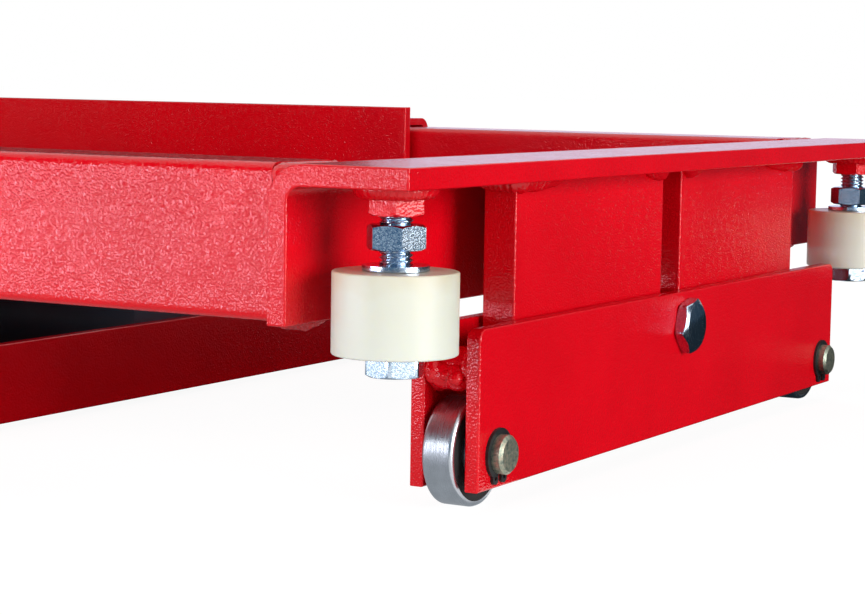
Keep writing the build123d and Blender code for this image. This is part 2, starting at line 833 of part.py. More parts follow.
def make_release_knob():
    """Fluted knob on a short stem, which lets the oil back to the tank."""
    stem_start = pump_start - knob_stem_length
    with BuildPart() as knob:
        bar_x(stem_start - knob_length, stem_start, knob_diameter, knob_y, knob_height)
        fillet(knob.edges().filter_by(GeomType.CIRCLE), radius=plate_edge)
        with BuildSketch(across(stem_start - knob_length)):
            with Locations((knob_y, knob_height)):
                with PolarLocations(knob_diameter / 2 + plate_edge, knob_flutes):
                    Circle(knob_flute_diameter / 2)
        extrude(amount=knob_length, mode=Mode.SUBTRACT)
        bar_x(stem_start, pump_start - roll_gap, knob_stem_diameter, knob_y, knob_height)
    return knob


# The two ends
save_both_ends(make_rail_bracket(), "rail_bracket")
save_both_ends(make_arms(), "telescopic_arms")
save_both_ends(make_web_plates(), "web_plates")
save_both_ends(make_pivot_bush(), "pivot_bush")
save_both_ends(make_pivot_bolt(), "pivot_bolt")
save_both_ends(make_carriage_frame(), "carriage_frame")
save_both_ends(make_wheel_hubs(), "wheel_hubs")
save_both_ends(make_axle_pins(), "axle_pins")
save_both_ends(make_circlips(), "circlips")
save_both_ends(make_guide_bolts(), "guide_bolts")
save_both_ends(make_guide_lock_nuts(), "guide_lock_nuts")
save_both_ends(make_guide_weld_nuts(), "guide_weld_nuts")
for place, sign in (("front", -1), ("rear", 1)):
    save_both_ends(make_wheel(sign * pin_y), f"wheel_{place}")
    save_both_ends(make_wheel_seals(sign * pin_y), f"wheel_seals_{place}")
    save_both_ends(make_guide_roller(sign * guide_y), f"guide_roller_{place}")

# The body
for place, sign in (("front", -1), ("rear", 1)):
    save(make_side_plate(sign), f"side_plate_{place}")
    save(make_sleeve(sign), f"sleeve_{place}")
save(make_cross_plates(), "cross_plates")
save(make_base_tracks(), "base_tracks")

# The scissor and the platform
save(make_outer_legs(), "outer_legs")
save(make_inner_legs(), "inner_legs")
save(make_centre_pins(), "centre_pins")
save(make_lower_axle(), "lower_axle")
save(make_rollers(inner_leg_back + roller_side_gap, running_bore, base_pivot_height), "base_rollers")
save(make_rollers(outer_leg_back + roller_side_gap, roller_stub + 2 * running_clearance, top_pivot_height),
     "top_rollers")
save(make_platform(), "platform")
saddle_arm = make_saddle_arm()
saddle_pad = make_saddle_pad()
save(saddle_arm, "saddle_arm_right")
save(saddle_pad, "saddle_pad_right")
save(half_turn(saddle_arm), "saddle_arm_left")
save(half_turn(saddle_pad), "saddle_pad_left")

# The ram and the pump
save(make_barrel(), "ram_barrel")
save(make_gland(), "ram_gland")
save(make_ram_rod(), "ram_rod")
save(make_pipe(), "oil_pipe")
save(make_pump_block(), "pump_block")
save(make_handle_socket(), "handle_socket")
save(make_release_knob(), "release_knob")
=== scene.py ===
import json
import math
from functools import partial

import bmesh
import bpy
from bpy.props import FloatProperty, FloatVectorProperty, IntProperty, PointerProperty
from mathutils import Matrix, Vector


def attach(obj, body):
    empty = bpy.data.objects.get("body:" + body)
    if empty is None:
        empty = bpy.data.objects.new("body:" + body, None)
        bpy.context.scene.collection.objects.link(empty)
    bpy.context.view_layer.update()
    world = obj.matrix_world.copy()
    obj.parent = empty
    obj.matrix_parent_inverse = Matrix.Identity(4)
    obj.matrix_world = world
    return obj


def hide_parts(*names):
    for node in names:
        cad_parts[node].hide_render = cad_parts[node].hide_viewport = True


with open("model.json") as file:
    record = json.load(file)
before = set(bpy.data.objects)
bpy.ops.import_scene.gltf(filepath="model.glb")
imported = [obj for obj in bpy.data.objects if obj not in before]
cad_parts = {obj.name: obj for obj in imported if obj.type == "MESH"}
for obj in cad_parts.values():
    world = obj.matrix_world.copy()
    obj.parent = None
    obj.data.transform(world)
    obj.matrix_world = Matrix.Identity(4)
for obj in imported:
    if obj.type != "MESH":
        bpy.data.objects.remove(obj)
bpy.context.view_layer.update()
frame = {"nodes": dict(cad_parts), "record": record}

NODES = frame["nodes"]
MM = 0.001

bl_info = {
    "name": "Rolling bridge jack",
    "version": (1, 0, 0),
    "blender": (4, 5, 0),
    "location": "View3D > Sidebar > Bridge jack",
    "description": "Finishes, welds, threads and a studio for the rolling bridge jack",
    "category": "Object",
}

ENDS = (("right", 1), ("left", -1))
PLACES = (("front", -1), ("rear", 1))
WAYS = (-1, 1)

# Places of the guide bolts, the pivots and the wheels, in millimetres
GUIDE_X, GUIDE_Y = 514, 237
PIVOT_Z = 54
WHEEL_Y, WHEEL_Z = 174, 21

# Plain form of a hexagon's ends: how far the cone starts inside the flats, and its height
HEX_INSET, HEX_CONE = 0.3 * MM, 0.95 * MM

# Steps round a shell, and the angle from which an edge stays sharp
FINE_STEPS, PLAIN_STEPS = 96, 48
SHARP_ANGLE = math.radians(32)


# Sizes and colours

class JackPaint(bpy.types.PropertyGroup):
    """Red powder coat of the welded steel"""

    colour: FloatVectorProperty(
        name="Colour", description="Colour of the powder coat", subtype="COLOR", size=3,
        min=0, max=1, default=(0.72, 0.0015, 0.009))
    shade: FloatVectorProperty(
        name="Shade", description="Colour where the coat lies a little thicker", subtype="COLOR",
        size=3, min=0, max=1, default=(0.63, 0.0012, 0.007))
    peel_size: FloatProperty(
        name="Peel size", description="Width of one dimple of the orange peel", subtype="DISTANCE",
        unit="LENGTH", default=0.8 * MM, min=0.1 * MM)
    peel_depth: FloatProperty(
        name="Peel depth", description="Depth of the orange peel", subtype="DISTANCE",
        unit="LENGTH", default=0.22 * MM, min=0)


class JackWelds(bpy.types.PropertyGroup):
    """Weld beads"""

    ripple_pitch: FloatProperty(
        name="Ripple pitch", description="Distance from one ripple of a bead to the next",
        subtype="DISTANCE", unit="LENGTH", default=2.1 * MM, min=0.2 * MM)
    ripple_depth: FloatProperty(
        name="Ripple depth", description="Ripple height as a share of the bead's radius",
        subtype="FACTOR", default=0.09, min=0, max=1)
    lump_height: FloatProperty(
        name="Lump height", description="How far the bead swells and shrinks", subtype="DISTANCE",
        unit="LENGTH", default=1.3 * MM, min=0)
    lump_size: FloatProperty(
        name="Lump size", description="Length of one lump along a bead", subtype="DISTANCE",
        unit="LENGTH", default=5.5 * MM, min=0.5 * MM)
    seed: IntProperty(name="Seed", description="Seed of the lumps", default=7, min=0)


class JackThreads(bpy.types.PropertyGroup):
    """Screw threads of the bolts"""

    guide_pitch: FloatProperty(
        name="Guide bolt pitch", description="Pitch of the M12 guide bolts", subtype="DISTANCE",
        unit="LENGTH", default=1.75 * MM, min=0.2 * MM)
    pivot_pitch: FloatProperty(
        name="Pivot bolt pitch", description="Pitch of the M14 pivot bolts", subtype="DISTANCE",
        unit="LENGTH", default=2.0 * MM, min=0.2 * MM)
    depth_share: FloatProperty(
        name="Depth share", description="Depth of a thread as a share of its pitch",
        subtype="FACTOR", default=0.56, min=0.1, max=0.8)


class JackStage(bpy.types.PropertyGroup):
    """Studio"""

    floor_colour: FloatVectorProperty(
        name="Floor colour", description="Colour of the floor", subtype="COLOR", size=3,
        min=0, max=1, default=(0.6, 0.6, 0.6))
    shadow: FloatProperty(
        name="Shadow", description="How much of the shadow shows on the floor", subtype="FACTOR",
        default=0.14, min=0, max=1)
    left_box: FloatProperty(
        name="Left soft box", description="Brightness of the soft box on the left",
        default=5.2, min=0)
    strip_box: FloatProperty(
        name="Strip box", description="Brightness of the low strip box on the left",
        default=10.5, min=0)
    right_box: FloatProperty(
        name="Right soft box", description="Brightness of the soft box on the right",
        default=9.6, min=0)
    back_box: FloatProperty(
        name="Back soft box", description="Brightness of the soft box behind", default=7.0, min=0)
    top_box: FloatProperty(
        name="Top soft box", description="Brightness of the soft box overhead", default=0.9, min=0)
    fill: FloatProperty(
        name="Fill", description="Brightness of the room", subtype="FACTOR",
        default=0.04, min=0, max=1)


# Node helpers

def add_node(tree, kind, inputs=None, **settings):
    """A node with its settings, and with sockets or plain values on its inputs."""
    node = tree.nodes.new(kind)
    for label, value in settings.items():
        setattr(node, label, value)
    for label, value in (inputs or {}).items():
        if isinstance(value, bpy.types.NodeSocket):
            tree.links.new(value, node.inputs[label])
        else:
            node.inputs[label].default_value = value
    return node


def maths(tree, operation, *values):
    """A math node on sockets or plain numbers."""
    node = add_node(tree, "ShaderNodeMath", dict(enumerate(values)), operation=operation)
    return node.outputs["Value"]


def bare_material(name):
    """A new material with an empty tree."""
    material = bpy.data.materials.new(name)
    material.use_nodes = True
    material.node_tree.nodes.clear()
    return material, material.node_tree


def start_material(name, colour, metallic=0.0, roughness=0.5):
    """A new material with its shader and Object coordinates."""
    material, tree = bare_material(name)
    material.diffuse_color = (*colour, 1)
    shader = add_node(tree, "ShaderNodeBsdfPrincipled", {
        "Base Color": (*colour, 1), "Metallic": metallic, "Roughness": roughness})
    add_node(tree, "ShaderNodeOutputMaterial", {"Surface": shader.outputs["BSDF"]})
    coords = add_node(tree, "ShaderNodeTexCoord")
    return material, tree, shader, coords.outputs["Object"]


def connect(tree, shader, colour, normal, roughness=None):
    """Link a shader's colour, its normal and, where it varies, its roughness."""
    tree.links.new(colour, shader.inputs["Base Color"])
    tree.links.new(normal, shader.inputs["Normal"])
    if roughness:
        tree.links.new(roughness, shader.inputs["Roughness"])


def stretched(tree, vector, scale):
    """The vector scaled by axis, for marks that run one way."""
    node = add_node(tree, "ShaderNodeMapping", {"Vector": vector, "Scale": scale})
    return node.outputs["Vector"]


def noise(tree, vector, size, detail=2.0, roughness=0.5):
    """Noise whose features are about that size in metres."""
    node = add_node(tree, "ShaderNodeTexNoise", {
        "Vector": vector, "Scale": 1 / size, "Detail": detail, "Roughness": roughness})
    return node.outputs["Fac"]


def cells(tree, vector, size):
    """Random value for each cell of about that size in metres."""
    node = add_node(tree, "ShaderNodeTexVoronoi", {"Vector": vector, "Scale": 1 / size})
    return node.outputs["Color"]


def ramp(tree, factor, *stops):
    """Colour ramp through (position, colour) stops."""
    node = add_node(tree, "ShaderNodeValToRGB", {"Fac": factor})
    elements = node.color_ramp.elements
    while len(elements) < len(stops):
        elements.new(0.5)
    for element, (position, colour) in zip(elements, stops):
        element.position = position
        element.color = (*colour, 1)
    return node.outputs["Color"]


def spread(tree, value, low, high, start=0.3, end=0.7):
    """A value from start to end, mapped to the range from low to high."""
    node = add_node(tree, "ShaderNodeMapRange", {
        "Value": value, "From Min": start, "From Max": end, "To Min": low, "To Max": high})
    return node.outputs["Result"]


def bump(tree, height, depth, under=None):
    """Normal from a height, with that depth in metres, over another normal."""
    inputs = {"Height": height, "Distance": depth, "Strength": 1}
    if under:
        inputs["Normal"] = under
    return add_node(tree, "ShaderNodeBump", inputs).outputs["Normal"]


def darkened(colour, share):
    """A colour with that share of its light."""
    return tuple(share * part for part in colour)


# Finishes

def red_paint(paint):
    """Gloss powder coat with orange peel."""
    material, tree, shader, place = start_material("red_powder_coat", paint.colour)
    tone = ramp(tree, noise(tree, place, 60 * MM, 3), (0.3, paint.shade), (0.7, paint.colour))
    gloss = spread(tree, noise(tree, place, 9 * MM), 0.08, 0.14)
    wave = bump(tree, noise(tree, place, 5 * paint.peel_size, 0), 0.5 * paint.peel_depth)
    peel = bump(tree, noise(tree, place, paint.peel_size, 0), paint.peel_depth, wave)
    connect(tree, shader, tone, peel, gloss)
    shader.inputs["Specular IOR Level"].default_value = 0.4
    return material


def black_paint():
    """Satin black paint of the ram and the pump."""
    thick, thin = (0.037, 0.062, 0.09), (0.047, 0.078, 0.112)
    material, tree, shader, place = start_material("satin_black_paint", (0.042, 0.07, 0.1))
    tone = ramp(tree, noise(tree, place, 40 * MM, 3), (0.3, thick), (0.7, thin))
    gloss = spread(tree, noise(tree, place, 6 * MM), 0.3, 0.42)
    grain = bump(tree, noise(tree, place, 1.1 * MM, 1), 0.05 * MM)
    connect(tree, shader, tone, grain, gloss)
    return material


def zinc_plate():
    """Bright bluish zinc with a fine crystal sparkle."""
    dull, bright = (0.4, 0.53, 0.69), (0.64, 0.74, 0.84)
    material, tree, shader, place = start_material(
        "bright_zinc_plate", (0.62, 0.7, 0.79), 1.0, 0.28)
    spangle = cells(tree, place, 0.5 * MM)
    tone = ramp(tree, spangle, (0.2, dull), (0.8, bright))
    gloss = spread(tree, spangle, 0.12, 0.24, 0, 1)
    tilt = bump(tree, noise(tree, place, 0.5 * MM, 0), 0.016 * MM)
    wave = bump(tree, noise(tree, place, 1.6 * MM, 3), 0.025 * MM, tilt)
    connect(tree, shader, tone, wave, gloss)
    return material


def olive_zinc():
    """Olive-gold chromated zinc with a mottled face."""
    stops = ((0.3, (0.13, 0.155, 0.14)), (0.48, (0.29, 0.32, 0.25)), (0.62, (0.43, 0.37, 0.28)),
             (0.75, (0.48, 0.5, 0.48)))
    material, tree, shader, place = start_material("olive_chromate", (0.32, 0.33, 0.26), 1.0, 0.42)
    mottle = ramp(tree, noise(tree, place, 1.6 * MM, 4, 0.6), *stops)
    gloss = spread(tree, noise(tree, place, 0.5 * MM), 0.38, 0.58)
    grain = bump(tree, noise(tree, place, 0.45 * MM, 2), 0.03 * MM)
    connect(tree, shader, mottle, grain, gloss)
    return material


def lathe_steel(name, colour, axis, low, high):
    """Bare steel with fine marks round an axis, and roughness from low to high."""
    material, tree, shader, place = start_material(name, colour, 1.0, (low + high) / 2)
    marks = [0.02, 0.02, 0.02]
    marks[axis] = 1
    lines = noise(tree, stretched(tree, place, marks), 0.22 * MM, 3, 0.6)
    dark = darkened(colour, 0.82)
    tone = ramp(tree, noise(tree, place, 7 * MM, 3), (0.3, dark), (0.7, colour))
    connect(tree, shader, tone, bump(tree, lines, 0.006 * MM), spread(tree, lines, low, high))
    return material


def spring_steel():
    """Black phosphated spring steel."""
    dark, pale = (0.01, 0.01, 0.011), (0.03, 0.03, 0.033)
    material, tree, shader, place = start_material(
        "black_phosphate", (0.016, 0.016, 0.018), 0.4, 0.42)
    tone = ramp(tree, noise(tree, place, 2 * MM, 3), (0.3, dark), (0.7, pale))
    connect(tree, shader, tone, bump(tree, noise(tree, place, 0.3 * MM), 0.02 * MM))
    return material


def sintered_bronze():
    """Porous bronze of the pivot bushes."""
    pore, metal = (0.24, 0.15, 0.07), (0.48, 0.31, 0.14)
    material, tree, shader, place = start_material("sintered_bronze", (0.45, 0.29, 0.13), 1.0, 0.4)
    pores = noise(tree, place, 0.4 * MM, 3)
    tone = ramp(tree, pores, (0.3, pore), (0.6, metal))
    connect(tree, shader, tone, bump(tree, pores, 0.03 * MM))
    return material


def natural_nylon():
    """Turned natural nylon, cream and a little translucent, with painted shade that darkens and browns
    it towards the top.
    """
    # Painted shade: the cream grows darker and browner from the roller's bottom to its top, where it
    # sits under the flange
    bottom, top = 62 * MM, 94 * MM
    stops = ((0.1, (0.7, 0.73, 0.65)), (0.75, (0.69, 0.7, 0.6)), (1.0, (0.64, 0.6, 0.46)))
    material, tree, shader, place = start_material("natural_nylon", (0.7, 0.7, 0.6), 0.0, 0.34)
    split = add_node(tree, "ShaderNodeSeparateXYZ", {"Vector": place})
    # Painted shade that rises with the height, mixed with a random cloud of tone
    height = spread(tree, split.outputs["Z"], 0, 0.8, bottom, top)
    cloud = noise(tree, place, 14 * MM, 2)
    tone = ramp(tree, maths(tree, "MULTIPLY_ADD", cloud, 0.35, height), *stops)
    lines = noise(tree, stretched(tree, place, (0.01, 0.01, 1)), 0.3 * MM, 2)
    connect(tree, shader, tone, bump(tree, lines, 0.012 * MM), spread(tree, lines, 0.28, 0.42))
    shader.inputs["Subsurface Weight"].default_value = 0.4
    shader.inputs["Subsurface Radius"].default_value = (1.0, 0.8, 0.45)
    shader.inputs["Subsurface Scale"].default_value = 4 * MM
    return material


def rubber(name, colour, roughness, size, depth):
    """Moulded black rubber or plastic with a fine matt grain."""
    material, tree, shader, place = start_material(name, colour, 0.0, roughness)
    dark, vary = darkened(colour, 0.7), 0.08
    tone = ramp(tree, noise(tree, place, 12 * MM, 3), (0.3, dark), (0.7, colour))
    grain = noise(tree, place, size, 3)
    gloss = spread(tree, grain, roughness - vary, roughness + vary)
    connect(tree, shader, tone, bump(tree, grain, depth), gloss)
    return material


def finish_nodes(material, slot):
    """Give every CAD node of a slot its finish."""
    for entry in frame["record"]["subparts"]:
        if entry["material_slot"] == slot:
            for place in NODES[entry["node"]].material_slots:
                place.material = material


# Mesh helpers

def add_object(name, data):
    """A new object in the scene."""
    thing = bpy.data.objects.new(name, data)
    bpy.context.scene.collection.objects.link(thing)
    return thing


def add_piece(name, mesh, body):
    """Put a finished mesh in the scene and let it ride on its body."""
    mesh.name = name
    piece = add_object(name, mesh)
    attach(piece, body)
    return piece


def grow_shell(bm, rows, segments, place, closed=False):
    """Add a shell through rows of (height, radius by angle), capped or closed on itself."""
    rings = []
    for height, radius in rows:
        ring = []
        for step in range(segments):
            angle = 2 * math.pi * step / segments
            reach = radius(angle)
            point = Vector((reach * math.cos(angle), reach * math.sin(angle), height))
            ring.append(bm.verts.new(place @ point))
        rings.append(ring)
    faces = []
    pairs = list(zip(rings, rings[1:]))
    if closed:
        pairs.append((rings[-1], rings[0]))
    for lower, upper in pairs:
        for step in range(segments):
            after = (step + 1) % segments
            faces.append(bm.faces.new((lower[step], lower[after], upper[after], upper[step])))
    if not closed:
        faces.append(bm.faces.new(list(reversed(rings[0]))))
        faces.append(bm.faces.new(rings[-1]))
    bmesh.ops.recalc_face_normals(bm, faces=faces)


def hexagon_rows(flats, height, start, turn, inset=HEX_INSET, cone=HEX_CONE):
    """Rows of a hexagon coned off at both ends. Inset and cone give the first end's form."""
    corner = flats / 2 / math.cos(math.radians(30))

    def reach(limit):
        def radius(angle):
            inside = (angle - math.radians(turn)) % math.radians(60) - math.radians(30)
            return min(flats / 2 / math.cos(inside), limit)
        return radius

    def grown(share, edge):
        face = flats / 2 - edge
        return reach(face + share * (corner - face))

    cone_rows = 8
    shares = [row / cone_rows for row in range(cone_rows + 1)]
    first = [(start + share * cone, grown(share, inset)) for share in shares]
    last = [(start + height - share * HEX_CONE, grown(share, HEX_INSET))
            for share in reversed(shares)]
    return first + last


def round_rows(*points):
    """Rows of a turned shape from (height, radius) points."""
    return [(height, lambda angle, radius=radius: radius) for height, radius in points]


def merged_mesh(name, parts, material):
    """One mesh from several bmeshes, smooth except at sharp edges."""
    whole = bmesh.new()
    for part in parts:
        loose = bpy.data.meshes.new("loose")
        part.to_mesh(loose)
        part.free()
        whole.from_mesh(loose)
        bpy.data.meshes.remove(loose)
    for face in whole.faces:
        face.smooth = True
        face.material_index = 0
    mesh = bpy.data.meshes.new(name)
    whole.to_mesh(mesh)
    whole.free()
    mesh.materials.append(material)
    mesh.set_sharp_from_angle(angle=SHARP_ANGLE)
    return mesh


# Geometry Nodes

def start_tree(name, *inputs):
    """A node tree that takes a geometry and named inputs of (kind, name)."""
    tree = bpy.data.node_groups.new(name, "GeometryNodeTree")
    for kind, label in (("Geometry", "Geometry"), *inputs):
        tree.interface.new_socket(label, in_out="INPUT", socket_type=f"NodeSocket{kind}")
    tree.interface.new_socket("Geometry", in_out="OUTPUT", socket_type="NodeSocketGeometry")
    return tree, add_node(tree, "NodeGroupInput").outputs


def finish_tree(tree, geometry, given):
    """Realize a tree's geometry, give it its material and put it out."""
    real = add_node(tree, "GeometryNodeRealizeInstances", {"Geometry": geometry})
    coat = add_node(tree, "GeometryNodeSetMaterial", {
        "Geometry": real.outputs["Geometry"], "Material": given["Material"]})
    add_node(tree, "NodeGroupOutput", {"Geometry": coat.outputs["Geometry"]})


def held_number(tree, name):
    """A number that the base mesh holds at each of its points."""
    node = add_node(tree, "GeometryNodeInputNamedAttribute", {"Name": name}, data_type="FLOAT")
    return node.outputs["Attribute"]


def grown_mesh(name, base, tree, values):
    """The plain mesh that a tree grows from a base mesh."""
    carrier = add_object(name, base)
    modifier = carrier.modifiers.new(name, "NODES")
    modifier.node_group = tree
    for item in tree.interface.items_tree:
        if item.in_out == "INPUT" and item.name in values:
            modifier[item.identifier] = values[item.name]
    depsgraph = bpy.context.evaluated_depsgraph_get()
    mesh = bpy.data.meshes.new_from_object(carrier.evaluated_get(depsgraph), depsgraph=depsgraph)
    carrier.modifiers.remove(modifier)
    bpy.data.objects.remove(carrier)
    bpy.data.meshes.remove(base)
    return mesh


def weld_tree():
    """Beads along the edges of a mesh, with ripples, lumps and tapered ends."""
    step, around, taper_reach, least_share, lump_detail = 0.45 * MM, 14, 1.3, 0.08, 1.5
    tree, given = start_tree(
        "weld beads", ("Float", "Ripple pitch"), ("Float", "Ripple depth"),
        ("Float", "Lump height"), ("Float", "Lump size"), ("Int", "Seed"), ("Material", "Material"))
    node, work = partial(add_node, tree), partial(maths, tree)
    curve = node("GeometryNodeMeshToCurve", {"Mesh": given["Geometry"]})
    even = node("GeometryNodeResampleCurve", {"Curve": curve.outputs["Curve"], "Length": step},
                mode="LENGTH")
    bead, rough = held_number(tree, "bead"), held_number(tree, "ripple")
    walked = node("GeometryNodeSplineParameter").outputs["Length"]
    whole = node("GeometryNodeSplineLength").outputs["Length"]
    wave = work("MULTIPLY", work("DIVIDE", walked, given["Ripple pitch"]), 2 * math.pi)
    depth = work("MULTIPLY", rough, given["Ripple depth"])
    ripple = work("MULTIPLY_ADD", work("SINE", wave), depth, 1)
    near = work("MINIMUM", work("SUBTRACT", whole, walked), walked)
    share = work("MINIMUM", work("DIVIDE", near, work("MULTIPLY", bead, taper_reach)), 1)
    fall = work("POWER", work("SUBTRACT", 1, share), 2)
    taper = work("MAXIMUM", work("SQRT", work("SUBTRACT", 1, fall)), least_share)
    radius = work("MULTIPLY", bead, work("MULTIPLY", ripple, taper))
    sized = node("GeometryNodeSetCurveRadius", {"Curve": even.outputs["Curve"], "Radius": radius})
    ring = node("GeometryNodeCurvePrimitiveCircle", {"Resolution": around, "Radius": 1})
    own_radius = node("GeometryNodeInputRadius").outputs["Radius"]
    tube = node("GeometryNodeCurveToMesh", {
        "Curve": sized.outputs["Curve"], "Profile Curve": ring.outputs["Curve"],
        "Scale": own_radius, "Fill Caps": True})
    lumps = node("ShaderNodeTexNoise", {
        "Scale": work("DIVIDE", 1, given["Lump size"]), "W": given["Seed"],
        "Detail": lump_detail}, noise_dimensions="4D")
    swell = work("MULTIPLY", work("SUBTRACT", lumps.outputs["Fac"], 0.5), given["Lump height"])
    normal = node("GeometryNodeInputNormal").outputs["Normal"]
    push = node("ShaderNodeVectorMath", {0: normal, "Scale": swell}, operation="SCALE")
    moved = node("GeometryNodeSetPosition", {
        "Geometry": tube.outputs["Mesh"], "Offset": push.outputs["Vector"]})
    finish_tree(tree, moved.outputs["Geometry"], given)
    return tree


def thread_tree():
    """A screw thread on each point of a mesh, along Z and then turned."""
    rows_per_turn, flank, crest, seam = 10, 1.35, -0.2, 0.001 * MM
    tree, given = start_tree(
        "screw thread", ("Float", "Radius"), ("Float", "Pitch"), ("Float", "Depth"),
        ("Float", "Length"), ("Vector", "Turn"), ("Material", "Material"))
    node, work = partial(add_node, tree), partial(maths, tree)
    rows = work("MULTIPLY", work("DIVIDE", given["Length"], given["Pitch"]), rows_per_turn)
    sheet = node("GeometryNodeMeshGrid", {
        "Size X": 1, "Size Y": 1, "Vertices X": PLAIN_STEPS + 1, "Vertices Y": rows})
    place = node("GeometryNodeInputPosition").outputs["Position"]
    split = node("ShaderNodeSeparateXYZ", {"Vector": place})
    turns = work("ADD", split.outputs["X"], 0.5)
    angle = work("MULTIPLY", turns, 2 * math.pi)
    height = work("MULTIPLY", work("ADD", split.outputs["Y"], 0.5), given["Length"])
    phase = work("FRACT", work("SUBTRACT", work("DIVIDE", height, given["Pitch"]), turns))
    slope = work("ABSOLUTE", work("SUBTRACT", work("MULTIPLY", phase, 2), 1))
    flat = work("MINIMUM", work("MAXIMUM", work("MULTIPLY_ADD", slope, flank, crest), 0), 1)
    reach = work("SUBTRACT", given["Radius"], work("MULTIPLY", flat, given["Depth"]))
    join = node("ShaderNodeCombineXYZ", {
        "X": work("MULTIPLY", reach, work("COSINE", angle)),
        "Y": work("MULTIPLY", reach, work("SINE", angle)), "Z": height})
    wound = node("GeometryNodeSetPosition", {
        "Geometry": sheet.outputs["Mesh"], "Position": join.outputs["Vector"]})
    sewn = node("GeometryNodeMergeByDistance", {
        "Geometry": wound.outputs["Geometry"], "Distance": seam})
    turn = node("FunctionNodeEulerToRotation", {"Euler": given["Turn"]})
    copies = node("GeometryNodeInstanceOnPoints", {
        "Points": given["Geometry"], "Instance": sewn.outputs["Geometry"],
        "Rotation": turn.outputs["Rotation"]})
    finish_tree(tree, copies.outputs["Instances"], given)
    return tree


def threads(places, radius, pitch, depth, length, turn, material):
    """Closed screw threads that start at the given places."""
    points = bpy.data.meshes.new("thread points")
    points.from_pydata([tuple(place) for place in places], [], [])
    tree = bpy.data.node_groups.get("screw thread") or thread_tree()
    mesh = grown_mesh("thread", points, tree, {
        "Radius": radius, "Pitch": pitch, "Depth": depth, "Length": length, "Turn": turn,
        "Material": material})
    bm = bmesh.new()
    bm.from_mesh(mesh)
    bpy.data.meshes.remove(mesh)
    bmesh.ops.holes_fill(bm, edges=[edge for edge in bm.edges if edge.is_boundary], sides=0)
    bmesh.ops.recalc_face_normals(bm, faces=bm.faces)
    return bm


# Weld runs, in millimetres: points along each bead with its radius

def fillet_run(points, radius, ripple=1.0):
    """A run with one radius all along."""
    return [(Vector(point), radius, ripple) for point in points]


def stitch_run(middle, half, y, z, radius):
    """A short run along X, to both sides of its middle."""
    return fillet_run([(middle - half, y, z), (middle + half, y, z)], radius)


def upright_run(x, y, bottom, top, radius):
    """A run up a corner."""
    return fillet_run([(x, y, bottom), (x, y, top)], radius)


def lump_run(*points, ripple=0.5):
    """A run through points of (x, y, z, radius)."""
    return [(Vector(point[:3]), point[3], ripple) for point in points]


def arc_run(centre, radius, bead, axis, start, stop, ripple=1.0):
    """A run round a centre, square to an axis, from one angle to another."""
    steps = 40
    first, second = {"X": ((0, 1, 0), (0, 0, 1)), "Z": ((1, 0, 0), (0, 1, 0))}[axis]
    points = []
    for step in range(steps + 1):
        angle = math.radians(start + (stop - start) * step / steps)
        offset = Vector(first) * math.cos(angle) + Vector(second) * math.sin(angle)
        points.append((Vector(centre) + radius * offset, bead, ripple))
    return points


def mirrored(runs, side):
    """Runs of the right end, or their mirror image at the left end."""
    return [[(Vector((point.x * side, point.y, point.z)), bead, ripple)
             for point, bead, ripple in run] for run in runs]


def end_welds(side):
    """Beads of one end: webs, weld nuts and arms on the bracket."""
    front, back, web_end, web_gap, flange = 514.45, 500.45, 148, 9.8, 123
    nut_z, nut_radius = 122.6, 11.6
    leg, bend, arm_inner, arm_outer, arm_under, arm_top = 476, 480.9, 219.7, 259.7, 75, 126.3
    runs = []
    for way in WAYS:
        far, near = web_end * way, web_gap * way
        runs.append(lump_run(
            (back - 0.3, far * 0.86, flange, 2.8), (back - 0.4, far, flange, 4.2),
            (back + 4, far + 0.4 * way, flange, 5.2), (front - 4, far + 0.4 * way, flange - 0.3, 4.9),
            (front, far - 0.5 * way, flange - 0.4, 5.3), (front + 0.5, far * 0.955, flange - 0.2, 5.0),
            (front + 0.5, far * 0.9, flange - 0.2, 5.2), (front + 0.5, far * 0.85, flange, 4.4),
            (front + 0.4, far * 0.8, flange, 4.0), (front + 0.2, far * 0.75, flange + 0.3, 2.8),
            (front, far * 0.7, flange + 0.5, 1.7), ripple=0.8))
        for x in (front + 0.5, back - 0.5):
            runs.append(lump_run(
                (x, near + 0.6 * way, flange - 0.3, 3.0), (x, near + 6 * way, flange - 0.6, 4.3),
                (x, near + 12 * way, flange - 0.4, 4.0), (x, near + 20 * way, flange, 2.6)))
        runs.append(arc_run((GUIDE_X, GUIDE_Y * way, nut_z), nut_radius, 3.9, "Z", 20, 380, 0.35))
        inner, outer = arm_inner * way, arm_outer * way
        runs.append(lump_run(
            (leg, inner + 3 * way, arm_under, 2.8), (leg + 0.2, inner + 10 * way, arm_under - 0.2, 3.8),
            (leg + 0.4, inner + 18 * way, arm_under - 0.4, 4.5),
            (leg + 0.2, inner + 25 * way, arm_under - 0.2, 3.6),
            (leg, outer - 5 * way, arm_under + 0.2, 2.6)))
        runs.append(upright_run(leg + 0.4, inner, arm_under + 5, arm_top - 10.3, 2.8))
        runs.append(lump_run(
            (bend, inner + 2 * way, arm_top, 4.6), (bend, outer - 12 * way, arm_top + 0.1, 4.7),
            (bend, outer + 3.2 * way, arm_top, 4.7), ripple=0.2))
    return mirrored(runs, side)


